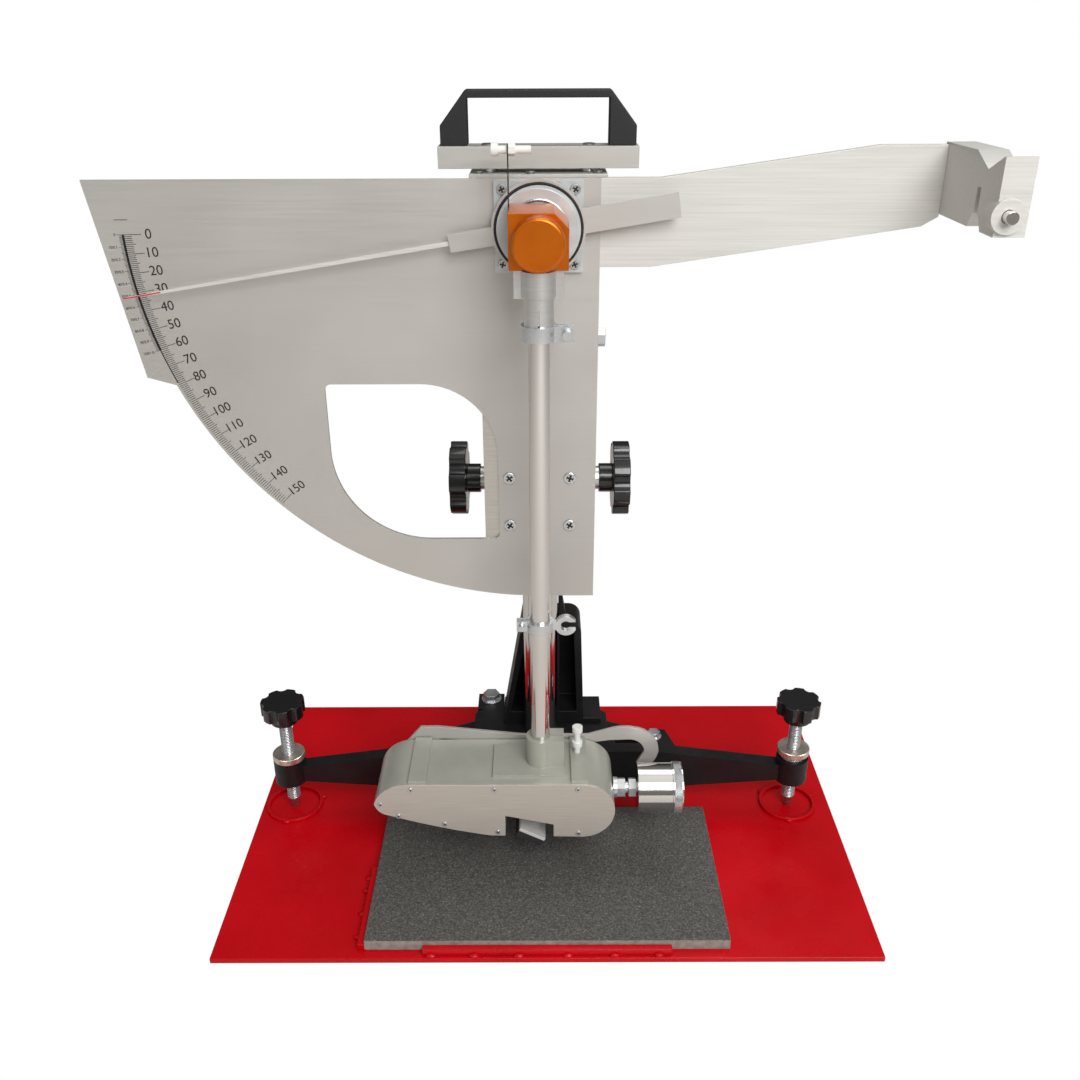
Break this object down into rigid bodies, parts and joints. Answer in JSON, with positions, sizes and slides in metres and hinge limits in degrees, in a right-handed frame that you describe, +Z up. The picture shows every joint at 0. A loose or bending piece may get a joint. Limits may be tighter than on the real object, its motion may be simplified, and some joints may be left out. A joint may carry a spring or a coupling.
{
  "type": "pendulum skid resistance tester",
  "caption": "Pendulum skid resistance tester: scale plate and raised pendulum head on a column with levelling feet, over a red plate with a test tile.",
  "frame": {"origin": "on the underside of the red stand plate, straight below the pendulum's pivot and hanging tube", "axes": "+Z up; +X to the operator's right, towards the catch, so the pendulum swings in the X-Z plane; +Y away from the operator, towards the column"},
  "size_m": [0.653, 0.356, 0.646],
  "materials": {
    "red_enamel": "glossy deep red enamel",
    "tile": "speckled dark grey test tile",
    "black_casting": "satin black paint",
    "black_metal": "matte black",
    "chrome": "polished",
    "steel": "turned and brushed",
    "scale_aluminium": "satin with fine horizontal grain",
    "grey_cast": "light grey-green cast finish",
    "orange": "satin orange anodised",
    "black_plastic": "glossy black",
    "white_nylon": "smooth",
    "needle_silver": "satin with a red tip",
    "slider_rubber": "matte black"
  },
  "bodies": {
    "stand": {"base_plate": "red_enamel", "test_tile": "tile", "tile_rails": "red_enamel", "foot_rings": "red_enamel", "foot_washer": "steel", "cross_beam": "black_casting", "base_casting": "black_casting", "casting_bolts": "steel", "column_bracket": "black_casting", "column_post": "chrome", "height_rack": "steel"},
    "carriage": {"carriage_housing": "scale_aluminium", "carriage_top_plate": "scale_aluminium", "carriage_bolt": "steel", "scale_plate": "scale_aluminium", "faceplate_screws": "steel", "handle_spacers": "steel", "handle_bar": "scale_aluminium", "carry_handle": "black_metal", "release_arm": "scale_aluminium", "catch_block": "scale_aluminium", "release_bush": "steel", "bearing_housing": "steel", "spindle_bearings": "steel", "bearing_cover": "steel"},
    "height_shaft": {"pinion_shaft": "steel", "height_knob_left": "black_plastic", "height_knob_right": "black_plastic"},
    "lock_knob": {"head_lock_knob": "black_plastic"},
    "pointer": {"pointer_hub": "scale_aluminium", "pointer_needle": "needle_silver"},
    "pendulum": {"pivot_block": "orange", "spindle": "steel", "pivot_cap": "orange", "tube_collar": "steel", "tube_clamp": "steel", "pendulum_tube": "chrome", "pusher_strip": "black_metal", "nylon_screws": "white_nylon", "catch_clip": "steel", "foot_housing": "grey_cast", "foot_cover": "steel", "foot_cover_screws": "steel", "balance_stud": "steel"},
    "slider": {"rubber_slider": "slider_rubber", "slider_backing": "scale_aluminium", "slider_arm": "steel"},
    "lever": {"lift_lever": "steel"},
    "weight": {"balance_weight": "chrome"},
    "release": {"release_bolt": "steel"},
    "left_foot": {"left_levelling_screw": "steel", "left_levelling_knob": "black_plastic"},
    "left_nut": {"left_lock_nut": "steel"},
    "right_foot": {"right_levelling_screw": "steel", "right_levelling_knob": "black_plastic"},
    "right_nut": {"right_lock_nut": "steel"},
    "rear_foot": {"rear_levelling_screw": "steel", "rear_levelling_knob": "black_plastic"},
    "rear_nut": {"rear_lock_nut": "steel"}
  },
  "joints": [
    {"name": "height_travel", "type": "slide", "parent": "stand", "child": "carriage", "axis": [0, 0, 1], "range_m": [-0.022, 0.015]},
    {"name": "height_knob_turn", "type": "hinge", "parent": "carriage", "child": "height_shaft", "pos_m": [0, 0.137, 0.322], "axis": [1, 0, 0], "range_deg": [-130, 90]},
    {"name": "head_lock_turn", "type": "hinge", "parent": "carriage", "child": "lock_knob", "pos_m": [0, 0.16, 0.43], "axis": [0, 1, 0], "range_deg": [0, 90]},
    {"name": "pointer_turn", "type": "hinge", "parent": "carriage", "child": "pointer", "pos_m": [0, 0.055, 0.553], "axis": [0, 1, 0], "range_deg": [-80, 10]},
    {"name": "pendulum_swing", "type": "hinge", "parent": "carriage", "child": "pendulum", "pos_m": [0, 0, 0.553], "axis": [0, -1, 0], "range_deg": [-95, 90]},
    {"name": "release_press", "type": "slide", "parent": "carriage", "child": "release", "axis": [0, 1, 0], "range_m": [0, 0.0065], "stiffness_N_per_m": 900, "springref_m": -0.002},
    {"name": "slider_lift", "type": "hinge", "parent": "pendulum", "child": "slider", "pos_m": [-0.07, 0, 0.09144], "axis": [0, -1, 0], "range_deg": [0, 8]},
    {"name": "lever_lift", "type": "hinge", "parent": "pendulum", "child": "lever", "pos_m": [-0.116, 0.034, 0.101], "axis": [0, -1, 0], "range_deg": [0, 4]},
    {"name": "weight_travel", "type": "slide", "parent": "pendulum", "child": "weight", "axis": [1, 0, 0], "range_m": [0, 0.008]},
    {"name": "left_levelling_turn", "type": "hinge", "parent": "stand", "child": "left_foot", "pos_m": [-0.2395, 0.0725, 0.1], "axis": [0, 0, 1], "continuous": true},
    {"name": "left_nut_turn", "type": "hinge", "parent": "stand", "child": "left_nut", "pos_m": [-0.2395, 0.0725, 0.065], "axis": [0, 0, 1], "continuous": true},
    {"name": "right_levelling_turn", "type": "hinge", "parent": "stand", "child": "right_foot", "pos_m": [0.2395, 0.0725, 0.1], "axis": [0, 0, 1], "continuous": true},
    {"name": "right_nut_turn", "type": "hinge", "parent": "stand", "child": "right_nut", "pos_m": [0.2395, 0.0725, 0.065], "axis": [0, 0, 1], "continuous": true},
    {"name": "rear_levelling_turn", "type": "hinge", "parent": "stand", "child": "rear_foot", "pos_m": [0, 0.195, 0.1], "axis": [0, 0, 1], "continuous": true},
    {"name": "rear_nut_turn", "type": "hinge", "parent": "stand", "child": "rear_nut", "pos_m": [0, 0.195, 0.065], "axis": [0, 0, 1], "continuous": true}
  ],
  "couplings": [
    {"joint": "height_knob_turn", "follows": "height_travel", "rad_per_m": 100},
    {"joint": "lever_lift", "follows": "slider_lift", "ratio": 0.5}
  ]
}
